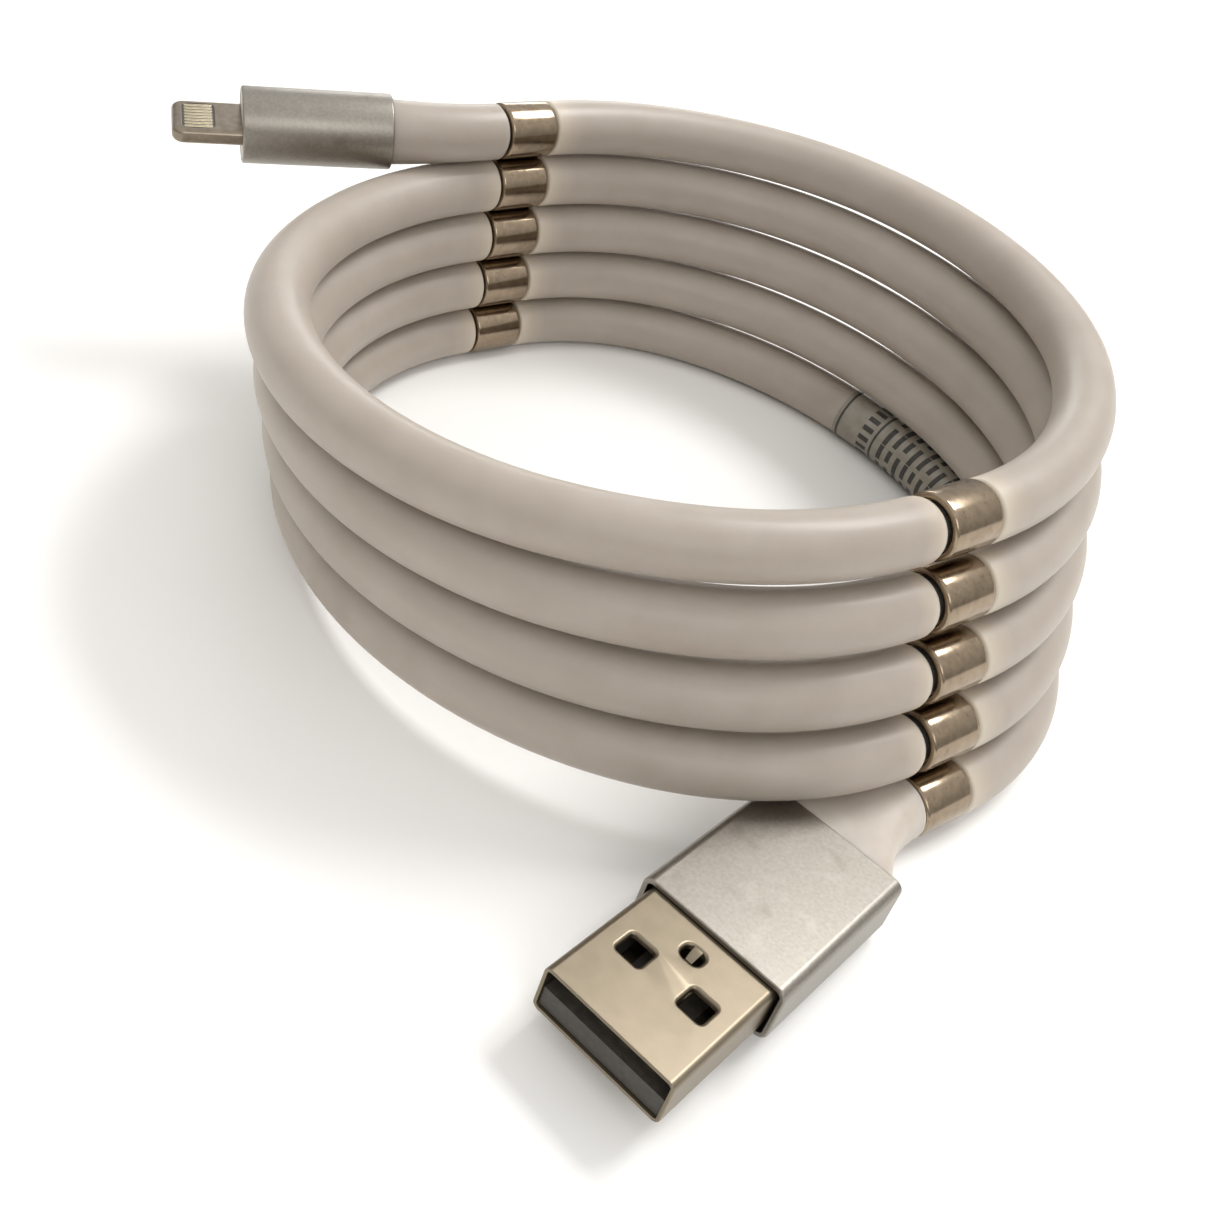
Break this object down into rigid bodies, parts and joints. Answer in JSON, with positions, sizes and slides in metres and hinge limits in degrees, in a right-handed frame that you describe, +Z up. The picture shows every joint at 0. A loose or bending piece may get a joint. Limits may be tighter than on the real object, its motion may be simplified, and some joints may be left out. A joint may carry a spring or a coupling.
{
  "type": "charging cable",
  "caption": "Self-winding charging cable coiled flat, with ring magnets that stack its turns, a USB-A plug on one end and a small reversible phone plug on the other.",
  "frame": {"origin": "on the surface the coil stands on, under the middle of the whole cable's bounding box", "axes": "+X from the left ring stack to the right ring stack, +Z up along the coil's axis, both plugs reach towards -Y"},
  "size_m": [0.1036, 0.0872, 0.0298],
  "materials": {
    "sleeve_skin": "milky grey-beige elastomer, satin",
    "jacket_skin": "white jacket, satin",
    "ring_nickel": "polished nickel plating",
    "bush_sinter": "dark sintered magnet bush",
    "wire_red": "insulation",
    "wire_black": "insulation",
    "wire_green": "insulation",
    "wire_white": "insulation",
    "label_film": "clear film with grey print",
    "shell_steel": "warm satin steel",
    "insulator_black": "moulded insulator",
    "contact_gold": "gold-flashed contact",
    "mould_white": "inner moulding",
    "housing_aluminium": "fine-blasted satin aluminium",
    "tab_steel": "dark satin steel",
    "board_green": "solder mask",
    "chip_black": "moulded chip"
  },
  "bodies": {
    "cable": {"back_sleeve_1": "sleeve_skin", "back_sleeve_2": "sleeve_skin", "back_sleeve_3": "sleeve_skin", "back_sleeve_4": "sleeve_skin", "back_sleeve_5": "sleeve_skin", "front_sleeve_1": "sleeve_skin", "front_sleeve_2": "sleeve_skin", "front_sleeve_3": "sleeve_skin", "front_sleeve_4": "sleeve_skin", "lead_sleeve": "sleeve_skin", "magnet_bushes": "bush_sinter", "core_jacket": "jacket_skin", "power_wire": "wire_red", "ground_wire": "wire_black", "data_plus_wire": "wire_green", "data_minus_wire": "wire_white", "label_band": "label_film", "usb_shell": "shell_steel", "usb_insulator": "insulator_black", "usb_contacts": "contact_gold", "usb_inner_mould": "mould_white", "usb_housing": "housing_aluminium", "usb_boot": "sleeve_skin", "phone_tab": "tab_steel", "phone_contact_insert": "insulator_black", "phone_contacts": "contact_gold", "phone_board": "board_green", "phone_chip": "chip_black", "phone_inner_mould": "mould_white", "phone_housing": "housing_aluminium"},
    "left_ring_1_body": {"left_ring_1": "ring_nickel"},
    "left_ring_2_body": {"left_ring_2": "ring_nickel"},
    "left_ring_3_body": {"left_ring_3": "ring_nickel"},
    "left_ring_4_body": {"left_ring_4": "ring_nickel"},
    "left_ring_5_body": {"left_ring_5": "ring_nickel"},
    "right_ring_1_body": {"right_ring_1": "ring_nickel"},
    "right_ring_2_body": {"right_ring_2": "ring_nickel"},
    "right_ring_3_body": {"right_ring_3": "ring_nickel"},
    "right_ring_4_body": {"right_ring_4": "ring_nickel"},
    "right_ring_5_body": {"right_ring_5": "ring_nickel"}
  },
  "joints": [
    {"name": "left_ring_1_spin", "type": "hinge", "parent": "cable", "child": "left_ring_1_body", "pos_m": [-0.03875, -0.00021, 0.02652], "axis": [0, 1, 0], "continuous": true},
    {"name": "left_ring_2_spin", "type": "hinge", "parent": "cable", "child": "left_ring_2_body", "pos_m": [-0.03825, -0.00021, 0.02063], "axis": [0, 1, 0], "continuous": true},
    {"name": "left_ring_3_spin", "type": "hinge", "parent": "cable", "child": "left_ring_3_body", "pos_m": [-0.03775, -0.00021, 0.01473], "axis": [0, 1, 0], "continuous": true},
    {"name": "left_ring_4_spin", "type": "hinge", "parent": "cable", "child": "left_ring_4_body", "pos_m": [-0.03725, -0.00021, 0.00882], "axis": [0, 1, 0], "continuous": true},
    {"name": "left_ring_5_spin", "type": "hinge", "parent": "cable", "child": "left_ring_5_body", "pos_m": [-0.03675, -0.00021, 0.00293], "axis": [0, 1, 0], "continuous": true},
    {"name": "right_ring_1_spin", "type": "hinge", "parent": "cable", "child": "right_ring_1_body", "pos_m": [0.02805, -0.00021, 0.02652], "axis": [0, 1, 0], "continuous": true},
    {"name": "right_ring_2_spin", "type": "hinge", "parent": "cable", "child": "right_ring_2_body", "pos_m": [0.03065, -0.00021, 0.02063], "axis": [0, 1, 0], "continuous": true},
    {"name": "right_ring_3_spin", "type": "hinge", "parent": "cable", "child": "right_ring_3_body", "pos_m": [0.03325, -0.00021, 0.01473], "axis": [0, 1, 0], "continuous": true},
    {"name": "right_ring_4_spin", "type": "hinge", "parent": "cable", "child": "right_ring_4_body", "pos_m": [0.03585, -0.00021, 0.00882], "axis": [0, 1, 0], "continuous": true},
    {"name": "right_ring_5_spin", "type": "hinge", "parent": "cable", "child": "right_ring_5_body", "pos_m": [0.03845, -0.00021, 0.00293], "axis": [0, 1, 0], "continuous": true}
  ],
  "couplings": [
    {"joint": "left_ring_2_spin", "follows": "left_ring_1_spin", "ratio": -1},
    {"joint": "left_ring_3_spin", "follows": "left_ring_1_spin", "ratio": 1},
    {"joint": "left_ring_4_spin", "follows": "left_ring_1_spin", "ratio": -1},
    {"joint": "left_ring_5_spin", "follows": "left_ring_1_spin", "ratio": 1},
    {"joint": "right_ring_2_spin", "follows": "right_ring_1_spin", "ratio": -1},
    {"joint": "right_ring_3_spin", "follows": "right_ring_1_spin", "ratio": 1},
    {"joint": "right_ring_4_spin", "follows": "right_ring_1_spin", "ratio": -1},
    {"joint": "right_ring_5_spin", "follows": "right_ring_1_spin", "ratio": 1}
  ]
}
